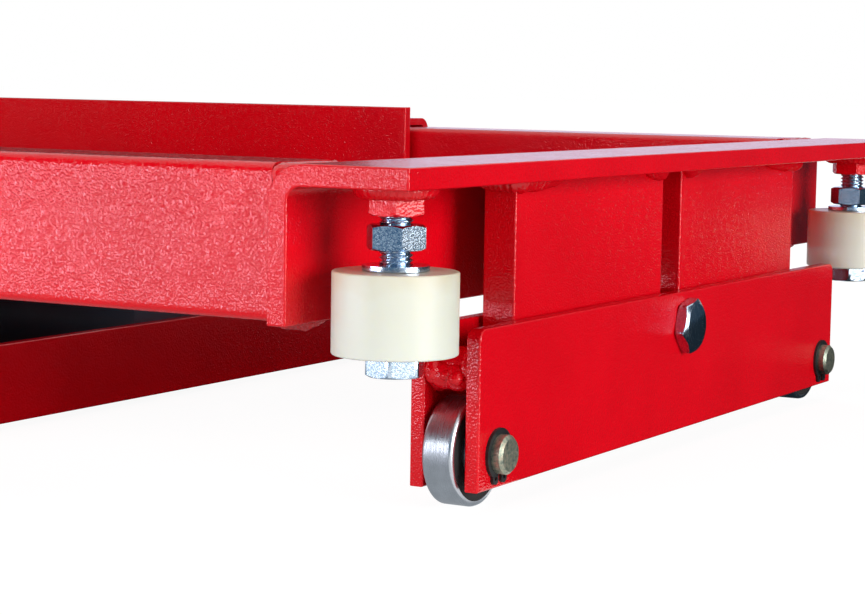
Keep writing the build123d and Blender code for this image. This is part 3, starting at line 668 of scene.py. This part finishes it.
def carriage_welds(side):
    """Beads that hold the round spacers between the carriage plates."""
    inner_plate, outer_plate, spacer_y, spacer_z, spacer_radius = 500.3, 514.7, 178, 53, 7.4
    runs = []
    for way in WAYS:
        y = spacer_y * way
        outward = 180 if way < 0 else 0
        for x in (inner_plate, outer_plate):
            runs.append(arc_run((x, y, spacer_z), spacer_radius, 2.5, "X",
                                outward - 95 * way, outward + 120 * way, 0.3))
        runs.append(lump_run(
            (498.6, y + 5.4 * way, 50, 5.2), (503, y + 6 * way, 50.4, 5.8),
            (507.6, y + 5.6 * way, 50.2, 5.2), (512, y + 6 * way, 50, 5.9),
            (516.4, y + 5.4 * way, 50, 5.2), ripple=0))
        runs.append(lump_run(
            (512.8, y + 8.6 * way, 53.2, 3.2), (511.8, y + 9.2 * way, 50, 3.9),
            (512.6, y + 8.4 * way, 47, 3.2), ripple=0))
        runs.append(lump_run(
            (506, y + 8.6 * way, 53.4, 2.8), (507, y + 9 * way, 50.6, 3.4),
            (506.6, y + 8.4 * way, 48.4, 2.6), ripple=0))
        runs.append(lump_run(
            (500.6, y + 7.8 * way, 57, 2.6), (501.4, y + 9 * way, 52.4, 3.4),
            (500.4, y + 8.4 * way, 47, 2.8), ripple=0.3))
    return mirrored(runs, side)


def frame_welds():
    """Beads of the body: sleeves, cross plates, tracks, barrel and pump."""
    sleeve_y, sleeve_edges, sleeve_stitches = 215.2, (136, 70), (-200, -100, 0, 100, 200)
    track_y, track_z, track_stitches = 208.2, 20, (-150, -50, 50, 130)
    cross_inside, cross_outside = (243.2, 207.9, 22, 37, 2.6), (250.6, 208.4, 6, 36, 2.4)
    pump_x, pump_y = -250.4, 75.4
    barrel_x, barrel_z, barrel_radius, gland_x, gland_radius = 243.4, 40, 32.4, 40, 31.7
    sleeve_half, track_half = 24, 18
    runs = []
    for way in WAYS:
        for z in sleeve_edges:
            for middle in sleeve_stitches:
                runs.append(stitch_run(middle, sleeve_half, sleeve_y * way, z, 2.8))
        for x, y, bottom, top, bead in (cross_inside, cross_outside):
            for end in WAYS:
                runs.append(upright_run(x * end, y * way, bottom, top, bead))
        for middle in track_stitches:
            runs.append(stitch_run(middle, track_half, track_y * way, track_z, 2.4))
        runs.append(upright_run(pump_x, pump_y * way, 10, 33, 2.4))
    runs.append(arc_run((barrel_x, 0, barrel_z), barrel_radius, 2.6, "X", 185, 355))
    runs.append(arc_run((gland_x, 0, barrel_z), gland_radius, 1.5, "X", 0, 360, 0.3))
    return runs


def platform_welds():
    """Beads of the saddle sleeves and the hinge lugs under the deck."""
    sleeve_y, sleeve_side, sleeve_z = 56, 21.3, 101.6
    stitches, stitch_half = (-120, -40, 40, 120), 14
    lug_faces, lug_inner, lug_outer, lug_z = (177.6, 212.4), 141, 150.5, 101.8
    runs = []
    for way in WAYS:
        for middle in stitches:
            for y in (sleeve_y * way - sleeve_side, sleeve_y * way + sleeve_side):
                runs.append(stitch_run(middle, stitch_half, y, sleeve_z, 2.4))
        for x in lug_faces:
            runs.append(fillet_run([(x, lug_inner * way, lug_z), (x, lug_outer * way, lug_z)], 2.2))
    return runs


def saddle_welds(side):
    """Beads between a saddle's bar and its cup."""
    bar_y, half, bottom, top, bead = -56 * side, 16.2, 64.8, 97.4, 2.0
    over, beside, corner = 171.6 * side, 172.4 * side, 3
    across = [(over, bar_y + y, top) for y in (half - corner, corner - half)]
    runs = [fillet_run(across, bead)]
    for way in WAYS:
        runs.append(upright_run(beside, bar_y + half * way, bottom + corner, top - corner, bead))
    return runs


def lay_beads(name, runs, body, welds, material):
    """Grow the beads of one body from their runs."""
    base = bpy.data.meshes.new("weld runs")
    points, edges, beads, ripples = [], [], [], []
    for run in runs:
        for index, (point, bead, ripple) in enumerate(run):
            if index:
                edges.append((len(points) - 1, len(points)))
            points.append(tuple(point * MM))
            beads.append(bead * MM)
            ripples.append(ripple)
    base.from_pydata(points, edges, [])
    base.attributes.new("bead", "FLOAT", "POINT").data.foreach_set("value", beads)
    base.attributes.new("ripple", "FLOAT", "POINT").data.foreach_set("value", ripples)
    tree = bpy.data.node_groups.get("weld beads") or weld_tree()
    mesh = grown_mesh(name, base, tree, {
        "Ripple pitch": welds.ripple_pitch, "Ripple depth": welds.ripple_depth,
        "Lump height": welds.lump_height, "Lump size": welds.lump_size, "Seed": welds.seed,
        "Material": material})
    mesh.materials.clear()
    mesh.materials.append(material)
    for face in mesh.polygons:
        face.use_smooth = True
    add_piece(name, mesh, body)


# Operators

class JACK_OT_steel_finishes(bpy.types.Operator):
    """Give the painted, plated and bare steel its finishes"""

    bl_idname = "jack.steel_finishes"
    bl_label = "Steel finishes"

    def execute(self, context):
        along_x, along_y = 0, 1
        ground = lathe_steel("ground_bearing_steel", (0.58, 0.62, 0.67), along_x, 0.24, 0.36)
        turned = lathe_steel("turned_steel", (0.46, 0.46, 0.47), along_y, 0.24, 0.4)
        chrome = lathe_steel("hard_chrome", (0.72, 0.73, 0.75), along_x, 0.05, 0.1)
        finish_nodes(red_paint(context.scene.jack_paint), "red_paint")
        finish_nodes(black_paint(), "black_paint")
        finish_nodes(zinc_plate(), "zinc_plate")
        finish_nodes(olive_zinc(), "olive_zinc")
        finish_nodes(ground, "bearing_steel")
        finish_nodes(turned, "turned_steel")
        finish_nodes(chrome, "hard_chrome")
        finish_nodes(spring_steel(), "black_spring_steel")
        finish_nodes(sintered_bronze(), "bronze")
        return {"FINISHED"}


class JACK_OT_moulded_finishes(bpy.types.Operator):
    """Give the nylon, rubber and plastic their finishes"""

    bl_idname = "jack.moulded_finishes"
    bl_label = "Nylon, rubber and plastic finishes"

    def execute(self, context):
        seal = rubber("seal_rubber", (0.012, 0.011, 0.012), 0.36, 0.3 * MM, 0.01 * MM)
        pad = rubber("pad_rubber", (0.02, 0.02, 0.021), 0.62, 0.7 * MM, 0.08 * MM)
        plastic = rubber("black_plastic", (0.018, 0.018, 0.02), 0.5, 0.5 * MM, 0.05 * MM)
        finish_nodes(natural_nylon(), "natural_nylon")
        finish_nodes(seal, "seal_rubber")
        finish_nodes(pad, "pad_rubber")
        finish_nodes(plastic, "black_plastic")
        return {"FINISHED"}


class JACK_OT_weld_beads(bpy.types.Operator):
    """Lay the weld beads on every body that has them"""

    bl_idname = "jack.weld_beads"
    bl_label = "Weld beads"

    def execute(self, context):
        welds = context.scene.jack_welds
        coat = bpy.data.materials["red_powder_coat"]
        for end, side in ENDS:
            lay_beads(f"weld_beads_end_{end}", end_welds(side), f"end_{end}", welds, coat)
            lay_beads(f"weld_beads_carriage_{end}", carriage_welds(side), f"carriage_{end}", welds, coat)
            lay_beads(f"weld_beads_saddle_{end}", saddle_welds(side), f"saddle_{end}", welds, coat)
        lay_beads("weld_beads_body", frame_welds(), "frame", welds, coat)
        lay_beads("weld_beads_platform", platform_welds(), "lift_platform", welds, coat)
        return {"FINISHED"}


class JACK_OT_guide_bolts(bpy.types.Operator):
    """Make the guide rollers' bolts with their threads"""

    bl_idname = "jack.guide_bolts"
    bl_label = "Guide bolts"

    def execute(self, context):
        sizes = context.scene.jack_threads
        zinc = bpy.data.materials["bright_zinc_plate"]
        flats, head_turn, shank_radius, thread_radius, overlap = 19 * MM, -10, 5.9 * MM, 6 * MM, 1 * MM
        head_bottom, shank_start, thread_start, bolt_end = 56.5 * MM, 64 * MM, 93 * MM, 122 * MM
        shank = round_rows((shank_start - overlap, shank_radius), (thread_start + overlap, shank_radius))
        for end, side in ENDS:
            head = hexagon_rows(flats, shank_start - head_bottom, head_bottom, head_turn * side)
            places = [Vector((GUIDE_X * MM * side, GUIDE_Y * MM * way, 0)) for way in WAYS]
            parts = []
            for place in places:
                bm = bmesh.new()
                put = Matrix.Translation(place)
                grow_shell(bm, head, FINE_STEPS, put)
                grow_shell(bm, shank, PLAIN_STEPS, put)
                parts.append(bm)
            starts = [place + Vector((0, 0, thread_start)) for place in places]
            parts.append(threads(
                starts, thread_radius, sizes.guide_pitch, sizes.depth_share * sizes.guide_pitch,
                bolt_end - thread_start, (0, 0, 0), zinc))
            piece = add_piece(f"threaded_guide_bolts_{end}", merged_mesh("bolts", parts, zinc),
                              f"end_{end}")
            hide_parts(f"guide_bolts_{end}")
        return {"FINISHED"}


class JACK_OT_pivot_bolts(bpy.types.Operator):
    """Make the carriages' pivot bolts with their nuts and threads"""

    bl_idname = "jack.pivot_bolts"
    bl_label = "Pivot bolts"

    def execute(self, context):
        sizes = context.scene.jack_threads
        zinc = bpy.data.materials["bright_zinc_plate"]
        flats, head_turn, crown_inset, crown_cone = 22 * MM, -13, 1.5 * MM, 1.85 * MM
        head, seat, nut_face, stub_end = 528.2 * MM, 522.2 * MM, 492.7 * MM, 482.2 * MM
        nut_height, shank_radius, thread_radius, overlap = 8 * MM, 6.95 * MM, 7 * MM, 1 * MM
        thread_start = nut_face - 6 * MM
        nut = hexagon_rows(flats, nut_height, head - nut_face, 0)
        shank = round_rows((head - seat - overlap, shank_radius), (head - nut_face, shank_radius))
        for end, side in ENDS:
            crown = hexagon_rows(flats, head - seat, 0, head_turn * side, crown_inset, crown_cone)
            turn = Matrix(((0, 0, -side), (1, 0, 0), (0, -side, 0))).to_4x4()
            put = Matrix.Translation((head * side, 0, PIVOT_Z * MM)) @ turn
            bm = bmesh.new()
            grow_shell(bm, crown, FINE_STEPS, put)
            grow_shell(bm, shank, PLAIN_STEPS, put)
            grow_shell(bm, nut, FINE_STEPS, put)
            start = Vector((thread_start * side, 0, PIVOT_Z * MM))
            thread = threads(
                [start], thread_radius, sizes.pivot_pitch, sizes.depth_share * sizes.pivot_pitch,
                thread_start - stub_end, (0, -math.pi / 2 * side, 0), zinc)
            piece = add_piece(f"threaded_pivot_bolt_{end}", merged_mesh("bolt", [bm, thread], zinc),
                              f"carriage_{end}")
            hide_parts(f"pivot_bolt_{end}")
        return {"FINISHED"}


class JACK_OT_wheel_seals(bpy.types.Operator):
    """Make the bearings' lipped seals"""

    bl_idname = "jack.wheel_seals"
    bl_label = "Wheel seals"

    def execute(self, context):
        coat = bpy.data.materials["seal_rubber"]
        outer_seat, inner_seat = 512.45 * MM, 502.45 * MM
        profile = [(0, 18.8), (0.95, 18.8), (1.0, 18.3), (0.7, 17.9), (0.55, 17.2), (0.55, 15.4),
                   (0.85, 15.0), (0.9, 13.8), (0.6, 13.4), (0.55, 12.5), (0.8, 12.2), (0.8, 11.7),
                   (0, 11.65)]
        seal = round_rows(*[(proud * MM, radius * MM) for proud, radius in profile])
        for end, side in ENDS:
            for place, way in PLACES:
                bm = bmesh.new()
                for outward, seat in ((1, outer_seat), (-1, inner_seat)):
                    facing_way = outward * side
                    turn = Matrix(((0, 0, facing_way), (0, 1, 0), (-facing_way, 0, 0))).to_4x4()
                    middle = (seat * side, WHEEL_Y * MM * way, WHEEL_Z * MM)
                    grow_shell(bm, seal, FINE_STEPS, Matrix.Translation(middle) @ turn, closed=True)
                piece = add_piece(f"lipped_seals_{place}_{end}", merged_mesh("seals", [bm], coat),
                                  f"{place}_{end}_wheel")
                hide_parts(f"wheel_seals_{place}_{end}")
        return {"FINISHED"}


class JACK_OT_saddle_pads(bpy.types.Operator):
    """Make the saddles' moulded rubber pads with rounded edges"""

    bl_idname = "jack.saddle_pads"
    bl_label = "Saddle pads"

    def execute(self, context):
        coat = bpy.data.materials["pad_rubber"]
        merge, flat, crease = 0.005 * MM, math.radians(1), math.radians(25)
        rounding, rounding_steps = 0.7 * MM, 4
        for end, _ in ENDS:
            bm = bmesh.new()
            bm.from_mesh(NODES[f"saddle_pad_{end}"].data)
            bmesh.ops.remove_doubles(bm, verts=bm.verts, dist=merge)
            bmesh.ops.dissolve_limit(bm, angle_limit=flat, verts=bm.verts, edges=bm.edges)
            edges = [edge for edge in bm.edges
                     if len(edge.link_faces) == 2 and edge.calc_face_angle() > crease]
            bmesh.ops.bevel(bm, geom=edges, offset=rounding, segments=rounding_steps, profile=0.5,
                            affect="EDGES", clamp_overlap=True)
            piece = add_piece(f"moulded_saddle_pad_{end}", merged_mesh("pad", [bm], coat),
                              f"saddle_{end}")
            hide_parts(f"saddle_pad_{end}")
        return {"FINISHED"}


class JACK_OT_stage(bpy.types.Operator):
    """Set up the floor, the soft boxes and the camera"""

    bl_idname = "jack.stage"
    bl_label = "Studio"

    def execute(self, context):
        stage = context.scene.jack_stage
        make_floor(stage)
        make_world(stage)
        soft_box("left_soft_box", (0.2, -1.9, 0.45), (0.3, -0.26, 0.1), 1.5, 0.9, stage.left_box,
                 in_mirrors=False)
        soft_box("left_strip_box", (-0.023, -0.742, 0.065), (0.307, -0.176, 0.085), 0.62, 0.06,
                 stage.strip_box, tint=(0.97, 0.93, 1.14))
        soft_box("right_soft_box", (2.1, -0.24, 0.36), (0.5, 0, 0.06), 1.2, 0.8, stage.right_box)
        soft_box("back_soft_box", (-1.5, 1.6, 0.9), (0, 0.1, 0.05), 1.5, 0.9, stage.back_box,
                 in_mirrors=False)
        soft_box("top_soft_box", (0.2, 0.1, 2.4), (0.2, 0.1, 0), 2.4, 2.4, stage.top_box)
        stage_card("floor_flag", lying((0.49, -0.14), (2.4, 2)), (0.012, 0.022, 0.03))
        stage_card("inner_flag", lying((-0.45, -0.2), (0.47, 0.6)), (0.004, 0.005, 0.007))
        stage_card("right_flag", standing((0.2, 1.8), (2.2, 0.55), 0, 0.9), (0.03, 0.055, 0.08))
        stage_card("near_floor_flag", lying((-0.3, -0.55), (0.52, -0.16)), (0.42, 0.44, 0.46))
        stage_card("tread_glow", standing((0.23, -0.32), (0.46, -0.46), 0, 0.042), (1.05, 1.1, 1.15))
        stage_card("left_spark", standing((-0.2, -1.53), (0.0, -1.57), 0.32, 0.5), (14, 14.5, 15))
        stage_card("front_floor_flag", lying((0.28, -1.6), (1.7, -0.8)), (0.06, 0.14, 0.22))
        stage_card("front_flag", standing((0.22, -1.6), (1.7, -1.5), 0, 1.2), (0.1, 0.2, 0.3))
        stage_card("left_flag", standing((-1.7, -1.3), (0.22, -1.7), 0.2, 1.4), (0.01, 0.012, 0.015))
        stage_card("back_flag", standing((-1.6, 0.4), (-0.36, 1.18), 0, 0.7), (0.02, 0.02, 0.025))
        stage_card("back_glow", standing((-0.36, 1.18), (0.5, 1.72), 0, 0.7), (0.84, 0.82, 1.04))
        make_camera(context.scene)
        context.scene.view_settings.view_transform = "Standard"
        return {"FINISHED"}


# Studio, in metres

def seen_rays(tree):
    """1 for rays from the camera and for rays that metal or glass shows."""
    path = add_node(tree, "ShaderNodeLightPath").outputs
    first = maths(tree, "MAXIMUM", path["Is Camera Ray"], path["Is Glossy Ray"])
    return maths(tree, "MAXIMUM", first, path["Is Transmission Ray"])


def plane_mesh(name, corners):
    """A flat four-sided mesh."""
    mesh = bpy.data.meshes.new(name)
    mesh.from_pydata(corners, [], [(0, 1, 2, 3)])
    return mesh


def make_floor(stage):
    """Wide pale floor that keeps the shadow and runs into the background."""
    reach, drop, fade_start, fade_end = 12, 0.0002, 0.8, 1.6
    corners = [(-reach, -reach, 0), (reach, -reach, 0), (reach, reach, 0), (-reach, reach, 0)]
    mesh = plane_mesh("floor", corners)
    floor = add_object("floor", mesh)
    floor.location.z = -drop
    material, tree = bare_material("pale_floor")
    node = partial(add_node, tree)
    matt = node("ShaderNodeBsdfDiffuse", {"Color": (*stage.floor_colour, 1)})
    faint = node("ShaderNodeBsdfDiffuse", {"Color": (stage.shadow, stage.shadow, stage.shadow, 1)})
    coords = node("ShaderNodeTexCoord")
    away = node("ShaderNodeVectorMath", {0: coords.outputs["Object"]}, operation="LENGTH")
    level = spread(tree, away.outputs["Value"], 1 - stage.shadow / 2, 1, fade_start, fade_end)
    glow = node("ShaderNodeEmission", {"Strength": level})
    both = node("ShaderNodeAddShader", {0: faint.outputs["BSDF"], 1: glow.outputs["Emission"]})
    mix = node("ShaderNodeMixShader", {
        "Fac": seen_rays(tree), 1: matt.outputs["BSDF"], 2: both.outputs["Shader"]})
    node("ShaderNodeOutputMaterial", {"Surface": mix.outputs["Shader"]})
    mesh.materials.append(material)


def make_world(stage):
    """White background, and a dim room for the fill."""
    world = bpy.data.worlds.new("studio")
    bpy.context.scene.world = world
    world.use_nodes = True
    tree = world.node_tree
    tree.nodes.clear()
    level = maths(tree, "MULTIPLY_ADD", seen_rays(tree), 1 - stage.fill, stage.fill)
    room = add_node(tree, "ShaderNodeBackground", {"Color": (1, 1, 1, 1), "Strength": level})
    add_node(tree, "ShaderNodeOutputWorld", {"Surface": room.outputs["Background"]})


def facing(place, target):
    """Matrix at a place, with -Z towards a target."""
    place, target = Vector(place), Vector(target)
    turn = (target - place).to_track_quat("-Z", "Y").to_matrix().to_4x4()
    return Matrix.Translation(place) @ turn


def soft_box(name, place, target, width, height, brightness, in_mirrors=True, tint=(1, 1, 1)):
    """Soft box. Brightness is what it looks like in a mirror, where mirrors show it."""
    light = bpy.data.lights.new(name, "AREA")
    light.shape = "RECTANGLE"
    light.size, light.size_y = width, height
    light.color = tint
    light.energy = brightness * math.pi * width * height
    lamp = add_object(name, light)
    lamp.matrix_world = facing(place, target)
    lamp.visible_camera = False
    lamp.visible_glossy = in_mirrors


def standing(start, stop, bottom, top):
    """Corners of an upright card from one place on the floor to another."""
    return [(*start, bottom), (*stop, bottom), (*stop, top), (*start, top)]


def lying(start, stop):
    """Corners of a card that lies just over the floor."""
    (left, near), (right, far), height = start, stop, 0.0006
    return [(left, near, height), (right, near, height), (right, far, height), (left, far, height)]


def stage_card(name, corners, colour):
    """Card beside the set that only shows in reflections: dark, or bright as a soft box."""
    mesh = plane_mesh(name, corners)
    card = add_object(name, mesh)
    material, tree = bare_material(name)
    glow = add_node(tree, "ShaderNodeEmission", {"Color": (*colour, 1)})
    add_node(tree, "ShaderNodeOutputMaterial", {"Surface": glow.outputs["Emission"]})
    mesh.materials.append(material)
    card.visible_camera = card.visible_diffuse = False
    card.visible_shadow = card.visible_transmission = False


def make_camera(scene):
    """Camera at the photograph's place, seen across one end of the jack."""
    photo_width, focal_pixels, sensor = 865, 2245.66, 36
    place = (0.91249, -0.90978, 0.16221)
    yaw, pitch, roll = 0.5181026, 0.1035009, 0.0157871
    data = bpy.data.cameras.new("camera")
    data.sensor_width = sensor
    data.lens = focal_pixels / photo_width * sensor
    data.clip_start = 0.02
    camera = add_object("camera", data)
    level = Vector((-math.sin(yaw), math.cos(yaw), 0))
    across = Vector((math.cos(yaw), math.sin(yaw), 0))
    up = Vector((0, 0, 1))
    ahead = math.cos(pitch) * level - math.sin(pitch) * up
    lifted = math.sin(pitch) * level + math.cos(pitch) * up
    right = math.cos(roll) * across + math.sin(roll) * lifted
    top = math.cos(roll) * lifted - math.sin(roll) * across
    turn = Matrix((right, top, -ahead)).transposed().to_4x4()
    camera.matrix_world = Matrix.Translation(place) @ turn
    scene.camera = camera


# Panel and registration

class JACK_PT_panel(bpy.types.Panel):
    """Steps that dress the jack"""

    bl_idname = "JACK_PT_panel"
    bl_label = "Rolling bridge jack"
    bl_space_type = "VIEW_3D"
    bl_region_type = "UI"
    bl_category = "Bridge jack"

    def draw(self, context):
        for step in STEPS:
            self.layout.operator(step.bl_idname)
        for group, kind in GROUPS.items():
            box = self.layout.box()
            for label in kind.__annotations__:
                box.prop(getattr(context.scene, group), label)


STEPS = (JACK_OT_steel_finishes, JACK_OT_moulded_finishes, JACK_OT_weld_beads, JACK_OT_guide_bolts,
         JACK_OT_pivot_bolts, JACK_OT_wheel_seals, JACK_OT_saddle_pads, JACK_OT_stage)
GROUPS = {"jack_paint": JackPaint, "jack_welds": JackWelds, "jack_threads": JackThreads,
          "jack_stage": JackStage}


def register():
    """Register the groups, the operators and the panel."""
    for group, kind in GROUPS.items():
        bpy.utils.register_class(kind)
        setattr(bpy.types.Scene, group, PointerProperty(type=kind))
    for step in STEPS:
        bpy.utils.register_class(step)
    bpy.utils.register_class(JACK_PT_panel)


def unregister():
    """Take everything out again."""
    bpy.utils.unregister_class(JACK_PT_panel)
    for step in reversed(STEPS):
        bpy.utils.unregister_class(step)
    for group, kind in GROUPS.items():
        delattr(bpy.types.Scene, group)
        bpy.utils.unregister_class(kind)


def main():
    """Dress the jack."""
    register()
    bpy.ops.jack.steel_finishes()
    bpy.ops.jack.moulded_finishes()
    bpy.ops.jack.weld_beads()
    bpy.ops.jack.guide_bolts()
    bpy.ops.jack.pivot_bolts()
    bpy.ops.jack.wheel_seals()
    bpy.ops.jack.saddle_pads()
    bpy.ops.jack.stage()


if __name__ == "__main__":
    main()
